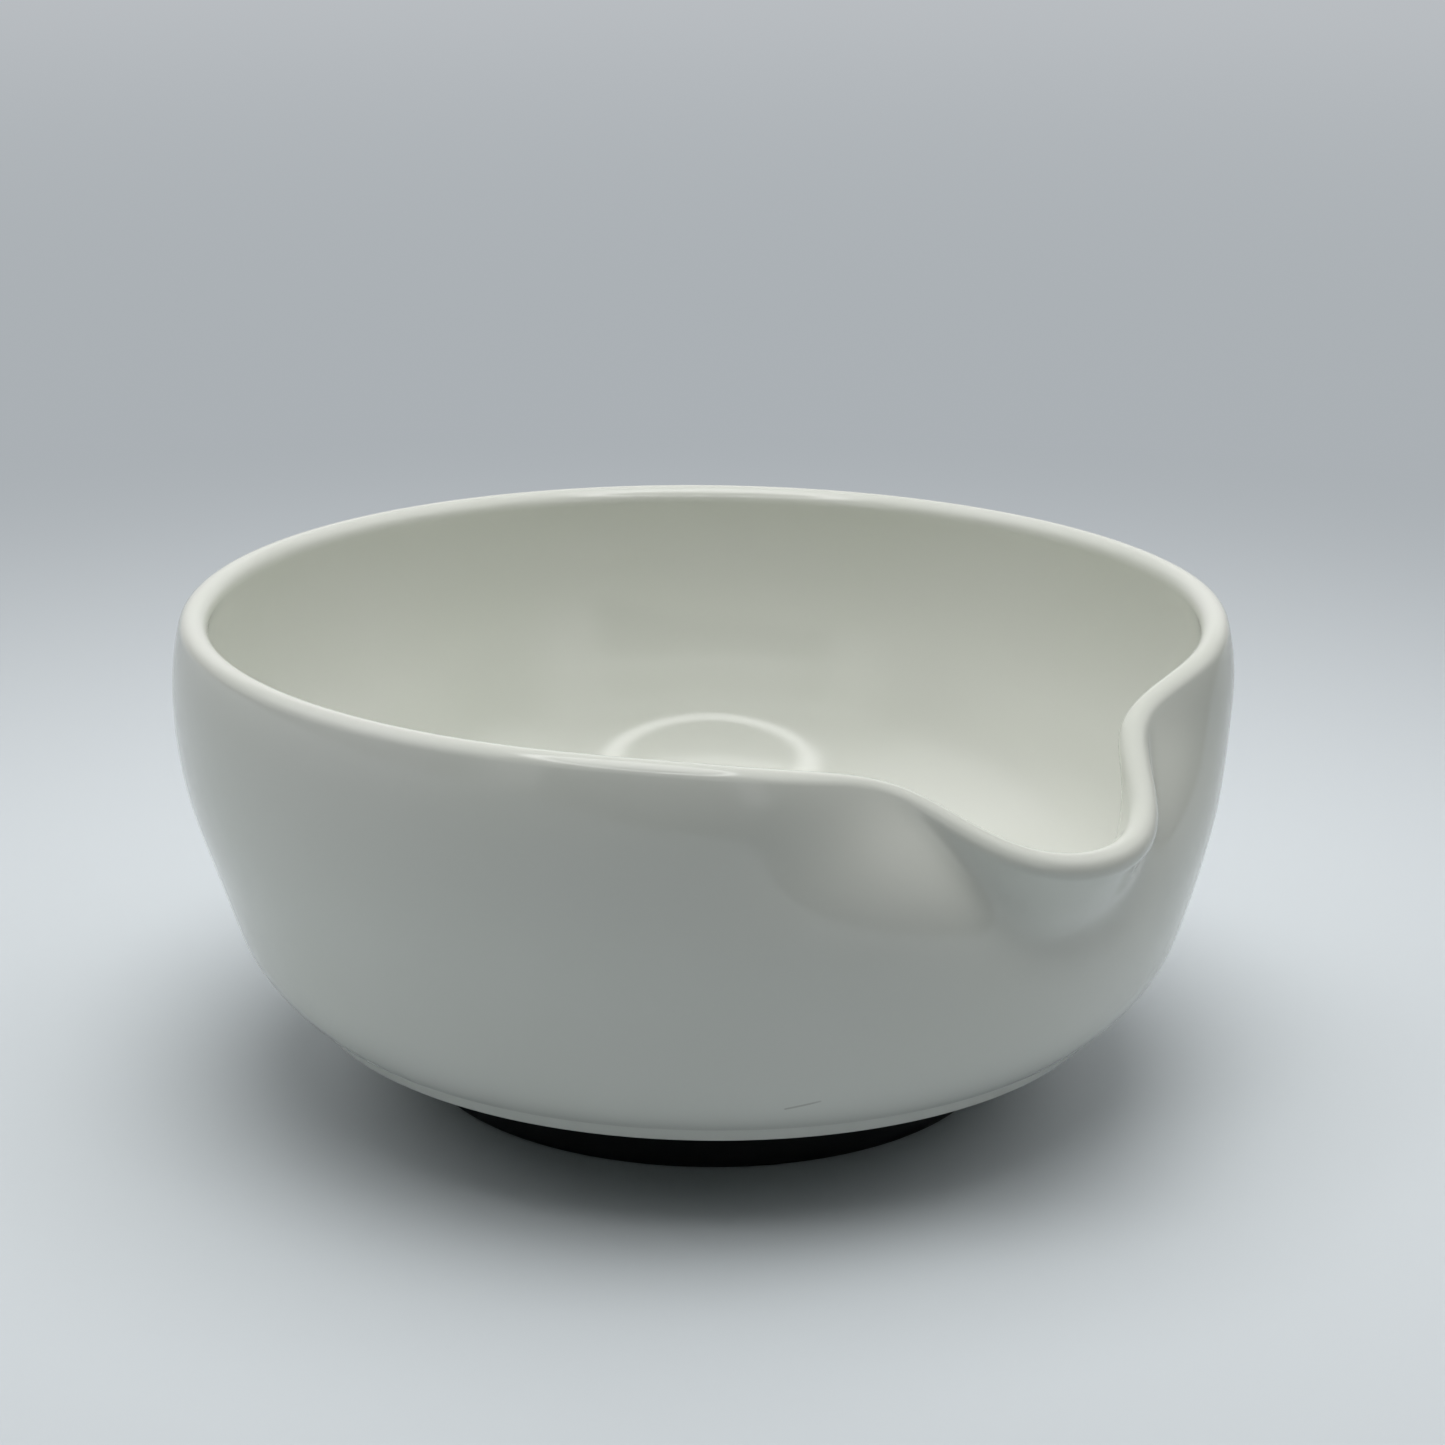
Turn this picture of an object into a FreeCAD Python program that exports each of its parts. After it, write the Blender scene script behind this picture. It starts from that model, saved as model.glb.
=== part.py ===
import FreeCAD, Part
import math
import os

from FreeCAD import Vector

# A glazed porcelain pouring bowl with a pulled spout, standing on a black rubber foot ring.
# Millimetres and degrees. Z is up, the table is z = 0, the bowl's axis is Z, the spout points to +X.

# Side wall, outside
body_height = 72.0       # table to the top of the plain rim
belly_radius = 80.0      # widest outside radius
belly_height = 60.6      # where the wall is widest
shoulder_curve = 39.93   # radius of the wall's curve above the widest point
belly_curve = 62.0       # and below it
wall_lean = 18.5         # lean of the straight stretch of the wall, from upright
hip_curve = 23.0         # radius of the turn below the straight stretch
hip_turn = 54.3          # how far under level the turn points where it ends, in the crease

# Base, outside
base_underside = 12.1    # height of the flat underside
step_height = 2.5        # underside to the soft crease
step_lean = 37.0         # lean of the base step below the crease, from upright
crease_round = 1.4
step_round = 0.9

# Wall and floor
wall = 4.3               # thickness of the side wall, and diameter of the rounded rim
floor_thickness = 4.3
inner_straight = 6.0     # height of the straight stretch of the wall, inside

# Pulled spout: the rim sinks at its middle and is pinched inwards at both sides
spout_drop = 18.2        # how far the rim sinks at the middle of the spout
spout_core_share = 0.22  # share of that drop which belongs to the narrow throat
spout_core_width = 15.9
spout_wide_width = 28.3
spout_reach = 2.7        # how far the lip is pushed out at the middle
spout_reach_width = 16.2
pinch_depth = 9.8        # how far the rim is pulled in at each side
pinch_angle = 21.9
pinch_width = 12.9
shoulder_depth = 1.1     # slight hollow where the pinch runs out
shoulder_angle = 43.1
shoulder_width = 12.4
spout_root_rise = 1.0    # from the hip to the height where the wall starts to follow the spout
rim_flare = 1.4          # how sharply the wall turns to the pinched rim, as a power of its rise
lip_flare = 12.0         # and to the lip
spout_spread = 45.0      # angle by which the rim's hollows have run into each other at the root
round_hump = 2           # power of a hump with a round top
flat_hump = 4            # and with a flatter one
spout_station = 5.0      # angle between the wall sections of the spout half
line_steps = 3           # steps of a section along the wall's straight stretch
belly_steps = 4
shoulder_steps = 5
rim_steps = 6
inner_line_steps = 2
inner_hip_steps = 3
angle_step = 0.5         # angle each way over which the slope of the pulled wall is taken
height_step = 0.2        # height over which its turn from the plain wall is taken
join_tolerance = 0.001   # the lofted half meets the turned parts within this

# Foot rim of the bowl, and the rubber ring that is pressed over it
ring_radius = 44.2       # outside radius of the ring
ring_side = 2.4          # thickness of its outer wall
ring_inner_side = 2.0
ring_floor = 3.0         # thickness under the foot rim
ring_top_gap = 0.6       # between the ring's top edge and the bowl's underside
ring_inner_height = 7.4
ring_edge_round = 0.5
foot_wall = 5.0          # thickness of the bowl's foot rim
foot_round = 1.5
fit_clearance = 0.1      # between foot rim and ring, on the upright faces
bead_depth = 0.7         # retaining bead of the ring, and the groove it snaps into
bead_height = 6.2
bead_width = 1.6

rim_bead = wall / 2
rim_height = body_height - rim_bead
inner_floor = base_underside + floor_thickness
lean = math.radians(wall_lean)


def on_circle(centre, radius, angle):
    """Point (r, z) on a circle of the profile plane, angle in radians from +r."""
    return (centre[0] + radius * math.cos(angle), centre[1] + radius * math.sin(angle))


# Centres and tangent points of the profile's arcs
shoulder_centre = (belly_radius - shoulder_curve, belly_height)
shoulder_turn = math.asin((rim_height - belly_height) / (shoulder_curve - rim_bead))
rim_centre = on_circle(shoulder_centre, shoulder_curve - rim_bead, shoulder_turn)
belly_centre = (belly_radius - belly_curve, belly_height)
cone_top = on_circle(belly_centre, belly_curve, -lean)
inner_cone_top = on_circle(belly_centre, belly_curve - wall, -lean)


def cone_radius(z, top):
    """Radius of the straight stretch that comes down from the point top."""
    return top[0] - (top[1] - z) * math.tan(lean)


hip_end_turn = -math.radians(hip_turn)
hip_centre_z = base_underside + step_height - hip_curve * math.sin(hip_end_turn)
hip_height = hip_centre_z - hip_curve * math.sin(lean)
hip_start = (cone_radius(hip_height, cone_top), hip_height)
hip_centre = on_circle(hip_start, -hip_curve, -lean)
crease = on_circle(hip_centre, hip_curve, hip_end_turn)
step_foot = crease[0] - step_height * math.tan(math.radians(step_lean))

inner_hip_end_z = inner_cone_top[1] - inner_straight
inner_hip_end = (cone_radius(inner_hip_end_z, inner_cone_top), inner_hip_end_z)
inner_hip_curve = (inner_hip_end_z - inner_floor) / (1 - math.sin(lean))
inner_hip_centre = on_circle(inner_hip_end, -inner_hip_curve, -lean)
spout_root = hip_height + spout_root_rise
middle_root = spout_root + rim_bead * math.sin(lean)
inner_root_turn = -math.asin((inner_hip_centre[1] - spout_root) / inner_hip_curve)
inner_root = (inner_hip_centre[0] + inner_hip_curve * math.cos(inner_root_turn), spout_root)

foot_outer = ring_radius - ring_side - fit_clearance
foot_inner = foot_outer - foot_wall


def hump(angle, middle, width, power, spread):
    """Smooth hump of height 1 about a middle angle. A spread makes it wider and lower."""
    wider = math.hypot(width, spread)
    return width / wider * math.exp(-abs((angle - middle) / wider) ** power)


def rim_pull(angle, spread):
    """How far the rim is pinched in and how far it sinks, at an angle from the spout's middle."""
    core = spout_core_share * hump(angle, 0, spout_core_width, flat_hump, spread)
    wide = (1 - spout_core_share) * hump(angle, 0, spout_wide_width, round_hump, spread)
    inward = 0
    pinch = (pinch_depth, pinch_angle, pinch_width)
    shoulder = (shoulder_depth, shoulder_angle, shoulder_width)
    for depth, middle, width in (pinch, shoulder):
        for side in (1, -1):
            inward += depth * hump(angle, side * middle, width, round_hump, spread)
    return inward, spout_drop * (core + wide)


def middle_radius(z):
    """Radius of the middle of the plain wall at a height above the hip."""
    up = z - belly_height
    curve = (shoulder_curve if up > 0 else belly_curve) - rim_bead
    bent = max(up, -curve * math.sin(lean))
    return belly_radius - rim_bead - curve + math.sqrt(curve ** 2 - bent ** 2) + (up - bent) * math.tan(lean)


def pulled_middle(z, angle):
    """Where the middle of the plain wall at a height goes in the section at an angle, as (r, z).

    It slides down along the wall, and then leans in or out to meet the rim.
    """
    rise = max(0, (z - middle_root) / (rim_height - middle_root))
    sink = min(rise, 1)
    low = z - rim_pull(angle, 0)[1] * sink * sink * (3 - 2 * sink)
    inward, rim_drop = rim_pull(angle, spout_spread * (1 - rise))
    shift = middle_radius(rim_height) - inward - middle_radius(rim_height - rim_drop)
    lip = spout_reach * hump(angle, 0, spout_reach_width, flat_hump, 0)
    return middle_radius(low) + shift * rise ** rim_flare + lip * rise ** lip_flare, low


def arc_point(centre, radius, angle, side):
    """Point of an arc of the profile, and the direction there out of the material.

    That is away from the arc's centre where side is 1, and towards it where side is -1.
    """
    return on_circle(centre, radius, angle), on_circle((0, 0), side, angle)


def arc_points(centre, radius, start, end, count, side):
    """Points and directions along an arc, without its end point."""
    return [arc_point(centre, radius, start + (end - start) * i / count, side) for i in range(count)]


def line_points(start, end, count, side):
    """Points and directions along the straight stretch of the wall, without its end point."""
    steps = [i / count for i in range(count)]
    points = [(start[0] + (end[0] - start[0]) * s, start[1] + (end[1] - start[1]) * s) for s in steps]
    return [(point, on_circle((0, 0), side, -lean)) for point in points]


def wall_strips(rim_turn):
    """The plain wall above the spout root in three strips: outside, over the rim, and inside.

    Each strip has its points, with the direction out of the material, and its way (dr, dz) at both ends.
    At the rim that way is turned outward by rim_turn.
    """
    outer_root = (cone_radius(spout_root, cone_top), spout_root)
    outside = line_points(outer_root, cone_top, line_steps, 1)
    outside += arc_points(belly_centre, belly_curve, -lean, 0, belly_steps, 1)
    outside += arc_points(shoulder_centre, shoulder_curve, 0, shoulder_turn, shoulder_steps, 1)
    outside.append(arc_point(rim_centre, rim_bead, shoulder_turn, 1))
    over = arc_points(rim_centre, rim_bead, shoulder_turn, shoulder_turn + math.pi, rim_steps, 1)
    over.append(arc_point(rim_centre, rim_bead, shoulder_turn + math.pi, 1))
    inside = arc_points(shoulder_centre, shoulder_curve - wall, shoulder_turn, 0, shoulder_steps, -1)
    inside += arc_points(belly_centre, belly_curve - wall, 0, -lean, belly_steps, -1)
    inside += line_points(inner_cone_top, inner_hip_end, inner_line_steps, -1)
    inside += arc_points(inner_hip_centre, inner_hip_curve, -lean, inner_root_turn, inner_hip_steps, -1)
    inside.append(arc_point(inner_hip_centre, inner_hip_curve, inner_root_turn, -1))
    at_root = (math.sin(lean), math.cos(lean))
    at_rim = (math.sin(rim_turn - shoulder_turn), math.cos(rim_turn - shoulder_turn))
    past_rim = (-at_rim[0], -at_rim[1])
    at_inner_root = (math.sin(inner_root_turn), -math.cos(inner_root_turn))
    return [(outside, at_root, at_rim), (over, at_rim, past_rim), (inside, past_rim, at_inner_root)]


def lean_between(low, high):
    """Lean from upright of the way between two points (r, z), in radians."""
    return math.atan2(high[0] - low[0], high[1] - low[1])


def wall_turn(z, angle):
    """How much further the pulled wall leans outward than the plain wall does, at a height of the latter.

    The step goes down from there, so that nothing turns at the root.
    """
    low = z - height_step
    plain_lean = lean_between((middle_radius(low), low), (middle_radius(z), z))
    return lean_between(pulled_middle(low, angle), pulled_middle(z, angle)) - plain_lean


def pulled(point, outward, angle):
    """Where a point of the plain wall goes in the section at an angle.

    The wall's middle is pulled, and the half thickness is laid on it again. Where the section cuts
    the wall at a slant, that is drawn longer, so that the wall keeps its thickness.
    """
    z = point[1] - rim_bead * outward[1]
    middle, low = pulled_middle(z, angle)
    middle += point[0] - rim_bead * outward[0] - middle_radius(z)
    turn = wall_turn(z, angle)
    facing_r = outward[0] * math.cos(turn) + outward[1] * math.sin(turn)
    facing_z = outward[1] * math.cos(turn) - outward[0] * math.sin(turn)
    before = pulled_middle(z, angle - angle_step)
    after = pulled_middle(z, angle + angle_step)
    slope_r, slope_z = ((b - a) / (middle * math.radians(2 * angle_step)) for a, b in zip(before, after))
    tilt = facing_r * slope_r + facing_z * slope_z
    stretch = rim_bead / math.sqrt(1 + tilt ** 2)
    return middle + stretch * (facing_r + tilt * slope_r), low + stretch * (facing_z + tilt * slope_z)


def wall_section(angle, is_plain):
    """Open section of the wall in the upright plane at this angle, from outer root to inner root."""
    rim_turn = 0 if is_plain else wall_turn(rim_height, angle)
    turn = math.radians(angle)

    def place(r, z):
        return Vector(r * math.cos(turn), r * math.sin(turn), z)

    edges = []
    for strip, start_way, end_way in wall_strips(rim_turn):
        knots = [0.0]
        for (a, _), (b, _) in zip(strip, strip[1:]):
            knots.append(knots[-1] + math.dist(a, b))
        spots = [point if is_plain else pulled(point, outward, angle) for point, outward in strip]
        curve = Part.BSplineCurve()
        curve.interpolate(
            Points=[place(*spot) for spot in spots],
            Parameters=knots,
            InitialTangent=place(*start_way),
            FinalTangent=place(*end_way),
        )
        edges.append(curve.toShape())
    return Part.Wire(edges)


def flat(r, z):
    return Vector(r, 0, z)


def line(a, b):
    return Part.LineSegment(flat(*a), flat(*b)).toShape()


def arc(centre, radius, start, end):
    """Arc of the profile between two angles, in radians from +r."""
    ends = [flat(*on_circle(centre, radius, a)) for a in (start, (start + end) / 2, end)]
    return Part.Arc(*ends).toShape()


def outline(corners):
    """Straight runs between (r, z) corners. A corner's third value rounds it."""
    edges = []
    start = corners[0][:2]
    for corner, after in zip(corners[1:], corners[2:]):
        middle = flat(*corner[:2])
        if len(corner) == 2:
            edges.append(line(start, corner))
            start = corner
            continue
        back = (flat(*start) - middle).normalize()
        ahead = (flat(*after[:2]) - middle).normalize()
        half = back.getAngle(ahead) / 2
        reach = corner[2] / math.tan(half)
        first = middle + back * reach
        last = middle + ahead * reach
        centre = middle + (back + ahead).normalize() * (corner[2] / math.sin(half))
        bulge = centre + (middle - centre).normalize() * corner[2]
        edges.append(line(start, (first.x, first.z)))
        edges.append(Part.Arc(first, bulge, last).toShape())
        start = (last.x, last.z)
    edges.append(line(start, corners[-1][:2]))
    return edges


def crease_fillet():
    """Where the step's line and the hip's arc meet the small arc that softens the crease."""
    along = Vector(-math.sin(math.radians(step_lean)), 0, -math.cos(math.radians(step_lean)))
    outward = Vector(math.cos(math.radians(step_lean)), 0, -math.sin(math.radians(step_lean)))
    hip = flat(*hip_centre)
    offset = flat(*crease) + outward * crease_round - hip
    reach = hip_curve + crease_round
    slide = -offset.dot(along) + math.sqrt(offset.dot(along) ** 2 - offset.Length ** 2 + reach ** 2)
    centre = hip + offset + along * slide
    on_step = flat(*crease) + along * slide
    on_hip = hip + (centre - hip) * (hip_curve / reach)
    nearest = centre + ((on_step + on_hip) * 0.5 - centre).normalize() * crease_round
    return on_step, nearest, on_hip


def base_outside():
    """From the axis along the underside, round the foot rim and up the step and the hip."""
    groove_low = bead_height - bead_width / 2
    groove_high = bead_height + bead_width / 2
    groove_floor = foot_outer - bead_depth
    on_step, nearest, on_hip = crease_fillet()
    edges = outline([
        (0, base_underside),
        (foot_inner, base_underside, foot_round),
        (foot_inner, ring_floor),
        (foot_outer, ring_floor),
        (foot_outer, groove_low),
        (groove_floor, groove_low + bead_depth / 2),
        (groove_floor, groove_high - bead_depth / 2),
        (foot_outer, groove_high),
        (foot_outer, base_underside, foot_round),
        (step_foot, base_underside, step_round),
        (on_step.x, on_step.z),
    ])
    edges.append(Part.Arc(on_step, nearest, on_hip).toShape())
    crease_turn = math.atan2(on_hip.z - hip_centre[1], on_hip.x - hip_centre[0])
    edges.append(arc(hip_centre, hip_curve, crease_turn, -lean))
    edges.append(line(hip_start, (cone_radius(spout_root, cone_top), spout_root)))
    return edges


def base_inside():
    """From the inner root down the inner hip and along the floor to the axis."""
    hip = arc(inner_hip_centre, inner_hip_curve, inner_root_turn, -math.pi / 2)
    return [hip, line((inner_hip_centre[0], inner_floor), (0, inner_floor))]


def turned(edges, angle):
    """Solid that a closed profile sweeps about Z through an angle."""
    face = Part.Face(Part.Wire(edges))
    return face.revolve(Vector(0, 0, 0), Vector(0, 0, 1), angle)


def closed(section):
    """The wall section with a level line across its root."""
    ends = section.Edges[-1].Vertexes[-1].Point, section.Edges[0].Vertexes[0].Point
    return Part.Wire(section.Edges + [Part.LineSegment(*ends).toShape()])


def make_bowl():
    """The wall's spout half is lofted from sections. The plain half and the base are turned."""
    count = round(180 / spout_station)
    angles = [-90 + 180 * i / count for i in range(count + 1)]
    sections = [closed(wall_section(a, abs(a) == 90)) for a in angles]
    spout_half = Part.makeLoft(sections, True, False)
    plain_half = turned(sections[-1].Edges, 180)
    across_root = line((cone_radius(spout_root, cone_top), spout_root), inner_root)
    axis = line((0, inner_floor), (0, base_underside))
    base = turned(base_outside() + [across_root] + base_inside() + [axis], 360)
    return base.fuse([spout_half, plain_half], join_tolerance)


def make_foot_ring():
    """A channel-shaped ring whose bead snaps into the groove of the foot rim."""
    channel_outer = ring_radius - ring_side
    channel_inner = foot_inner - fit_clearance
    inner_face = channel_inner - ring_inner_side
    top = base_underside - ring_top_gap
    bead_low = bead_height - bead_width / 2 + fit_clearance
    bead_high = bead_height + bead_width / 2 - fit_clearance
    bead_face = channel_outer - bead_depth
    middle = (inner_face + ring_radius) / 2
    return turned(outline([
        (middle, 0),
        (ring_radius, 0, ring_edge_round),
        (ring_radius, top, ring_edge_round),
        (channel_outer, top),
        (channel_outer, bead_high),
        (bead_face, bead_high - bead_depth / 2),
        (bead_face, bead_low + bead_depth / 2),
        (channel_outer, bead_low),
        (channel_outer, ring_floor),
        (channel_inner, ring_floor),
        (channel_inner, ring_inner_height),
        (inner_face, ring_inner_height, ring_edge_round),
        (inner_face, 0, ring_edge_round),
        (middle, 0),
    ]), 360)


os.makedirs("parts", exist_ok=True)
for name, shape in (("bowl", make_bowl()), ("foot_ring", make_foot_ring())):
    solid = shape.Solids[0]
    print(name, len(shape.Solids), solid.isValid(), round(solid.Volume), solid.optimalBoundingBox())
    solid.exportStep("parts/" + name + ".step")
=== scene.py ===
import bpy
import math
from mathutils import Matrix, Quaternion, Vector


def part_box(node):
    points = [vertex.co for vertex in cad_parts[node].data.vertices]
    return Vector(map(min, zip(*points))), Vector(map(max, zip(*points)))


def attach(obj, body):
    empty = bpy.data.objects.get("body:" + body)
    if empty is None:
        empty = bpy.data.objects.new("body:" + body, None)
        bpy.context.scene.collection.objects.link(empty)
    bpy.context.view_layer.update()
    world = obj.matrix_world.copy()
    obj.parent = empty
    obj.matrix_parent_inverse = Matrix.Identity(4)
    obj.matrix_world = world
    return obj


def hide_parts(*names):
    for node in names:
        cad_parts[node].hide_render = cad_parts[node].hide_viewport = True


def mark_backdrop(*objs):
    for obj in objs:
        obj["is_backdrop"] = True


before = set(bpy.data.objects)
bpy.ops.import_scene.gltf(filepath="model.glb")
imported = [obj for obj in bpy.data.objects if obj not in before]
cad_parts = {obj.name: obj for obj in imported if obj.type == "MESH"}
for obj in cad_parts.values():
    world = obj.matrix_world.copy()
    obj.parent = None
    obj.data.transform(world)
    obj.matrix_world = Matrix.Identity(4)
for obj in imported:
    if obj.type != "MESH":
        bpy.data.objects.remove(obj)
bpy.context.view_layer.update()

mm = 0.001
bowlLow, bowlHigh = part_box("bowl")
_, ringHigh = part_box("foot_ring")
print("frame loaded, bowl", [round(side / mm, 2) for side in bowlHigh - bowlLow], "mm")


# Profiles lie in the plane of the axis. Their points are (radius, height) in millimetres.

def onCircle(centre, radius, angle):
    return Vector((centre[0] + radius * math.cos(angle), centre[1] + radius * math.sin(angle)))


def addRun(points, end, gap):
    start = points[-1]
    steps = max(1, math.ceil((end - start).length / gap))
    points.extend(start.lerp(end, i / steps) for i in range(1, steps + 1))


def addArc(points, centre, radius, first, last, gap):
    turn = abs(last - first)
    steps = math.ceil(max(turn * radius / gap, turn / math.radians(7.5)))  # small arcs stay round
    points.extend(onCircle(centre, radius, first + (last - first) * i / steps) for i in range(1, steps + 1))


def addCorner(points, corner, after, radius, gap):
    back = (points[-1] - corner).normalized()
    ahead = (after - corner).normalized()
    half = back.angle(ahead) / 2
    reach = radius / math.tan(half)
    centre = corner + (back + ahead).normalized() * (radius / math.sin(half))
    addRun(points, corner + back * reach, gap)
    first = points[-1] - centre
    last = corner + ahead * reach - centre
    start = math.atan2(first.y, first.x)
    turn = math.remainder(math.atan2(last.y, last.x) - start, math.tau)
    addArc(points, centre, radius, start, start + turn, gap)


def addOutline(points, corners, gap):
    for corner, after in zip(corners, corners[1:]):  # (radius, height) or (radius, height, rounding)
        if len(corner) == 3:
            addCorner(points, Vector(corner[:2]), Vector(after[:2]), corner[2], gap)
        else:
            addRun(points, Vector(corner), gap)
    addRun(points, Vector(corners[-1][:2]), gap)


# Geometry Nodes turn a profile about the axis and pull a spout from it.

def feed(tree, socket, value):
    if isinstance(value, bpy.types.NodeSocket):
        tree.links.new(value, socket)
    else:
        socket.default_value = value


def node(tree, kind, inputs=None, **settings):
    made = tree.nodes.new(kind)
    for setting, value in settings.items():
        setattr(made, setting, value)
    for label, value in (inputs or {}).items():
        feed(tree, made.inputs[label], value)
    return made


def calc(tree, operation, *values):
    return node(tree, "ShaderNodeMath", dict(enumerate(values)), operation=operation).outputs[0]


def whole(tree, operation, *values):
    return node(tree, "FunctionNodeIntegerMath", dict(enumerate(values)), operation=operation).outputs[0]


def vectors(tree, operation, first, second=None, scale=None):
    made = node(tree, "ShaderNodeVectorMath", {0: first}, operation=operation)
    if second is not None:
        feed(tree, made.inputs[1], second)
    if scale is not None:
        feed(tree, made.inputs["Scale"], scale)
    return made.outputs["Value" if operation == "DOT_PRODUCT" else "Vector"]


def newTree(name, sockets, output):
    tree = bpy.data.node_groups.new(name, "GeometryNodeTree")
    for label, (kind, value) in sockets.items():
        socket = tree.interface.new_socket(label, in_out="INPUT", socket_type=kind)
        if value is not None:
            socket.default_value = value
    tree.interface.new_socket(output[0], in_out="OUTPUT", socket_type=output[1])
    return tree, tree.nodes.new("NodeGroupInput").outputs, tree.nodes.new("NodeGroupOutput").inputs[0]


def smoothHumpTree():
    number = "NodeSocketFloat"
    sockets = {"Angle": (number, 0), "Middle": (number, 0), "Width": (number, 10), "Power": (number, 2)}
    tree, given, result = newTree("Smooth hump", sockets, ("Height", number))
    away = calc(tree, "ABSOLUTE", calc(tree, "SUBTRACT", given["Angle"], given["Middle"]))
    share = calc(tree, "POWER", calc(tree, "DIVIDE", away, given["Width"]), given["Power"])
    feed(tree, result, calc(tree, "EXPONENT", calc(tree, "MULTIPLY", share, -1)))
    return tree


spoutPull = {                        # lengths in metres, angles in degrees from the middle of the spout
    "Drop": 18.2 * mm,               # how far the rim sinks at the middle
    "Throat Share": 0.22,            # part of the drop that belongs to the narrow throat
    "Throat Width": 15.9,
    "Drop Width": 28.3,
    "Reach": 2.69 * mm,              # how far the lip is pushed out, a hair less than on the solid
    "Reach Width": 16.2,
    "Pinch Depth": 9.8 * mm,         # how far the rim is pulled in at each side
    "Pinch Angle": 21.9,
    "Pinch Width": 12.9,
    "Shoulder Depth": 1.1 * mm,      # slight hollow where the pinch runs out
    "Shoulder Angle": 43.1,
    "Shoulder Width": 12.4,
    "Root Height": 27.66 * mm,       # below this the wall is round
    "Flare": 1.4,                    # how sharply the wall turns to the rim, as a power
    "Lip Flare": 12.0,               # and to the lip
    "Spread": 45.0,                  # how far its hollows and its throat run into each other at the root
    "Angle Step": 0.5,               # degrees each way over which the wall's slope is taken
    "Height Step": 0.2 * mm,         # and the way down over which its turn is taken
}
roundHump, flatHump = 2, 4           # powers of a hump with a round top and with a flatter one

# what the tree needs to know about the middle of the plain wall, see wallLineOf
wallLine = [
    "Rim Height", "Belly Radius", "Belly Height", "Belly Curve", "Shoulder Curve", "Wall Lean", "Half Wall",
]


def numberSockets(*names):
    return {name: ("NodeSocketFloat", 0.0) for name in names}


def plainMiddleTree():
    tree, given, result = newTree("Middle of plain wall", numberSockets("Height", *wallLine),
                                  ("Radius", "NodeSocketFloat"))
    up = calc(tree, "SUBTRACT", given["Height"], given["Belly Height"])
    above = calc(tree, "GREATER_THAN", up, 0)
    wider = calc(tree, "SUBTRACT", given["Shoulder Curve"], given["Belly Curve"])
    curve = calc(tree, "MULTIPLY_ADD", above, wider, given["Belly Curve"])
    lean = calc(tree, "RADIANS", given["Wall Lean"])
    lowest = calc(tree, "MULTIPLY", calc(tree, "MULTIPLY", curve, calc(tree, "SINE", lean)), -1)
    bent = calc(tree, "MAXIMUM", up, lowest)  # below the bent part the wall is straight
    square = calc(tree, "SUBTRACT", calc(tree, "MULTIPLY", curve, curve), calc(tree, "MULTIPLY", bent, bent))
    onArc = calc(tree, "SUBTRACT", calc(tree, "SQRT", square), curve)
    straight = calc(tree, "MULTIPLY", calc(tree, "SUBTRACT", up, bent), calc(tree, "TANGENT", lean))
    inwards = calc(tree, "ADD", onArc, straight)
    feed(tree, result, calc(tree, "ADD", given["Belly Radius"], inwards))
    return tree


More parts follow.
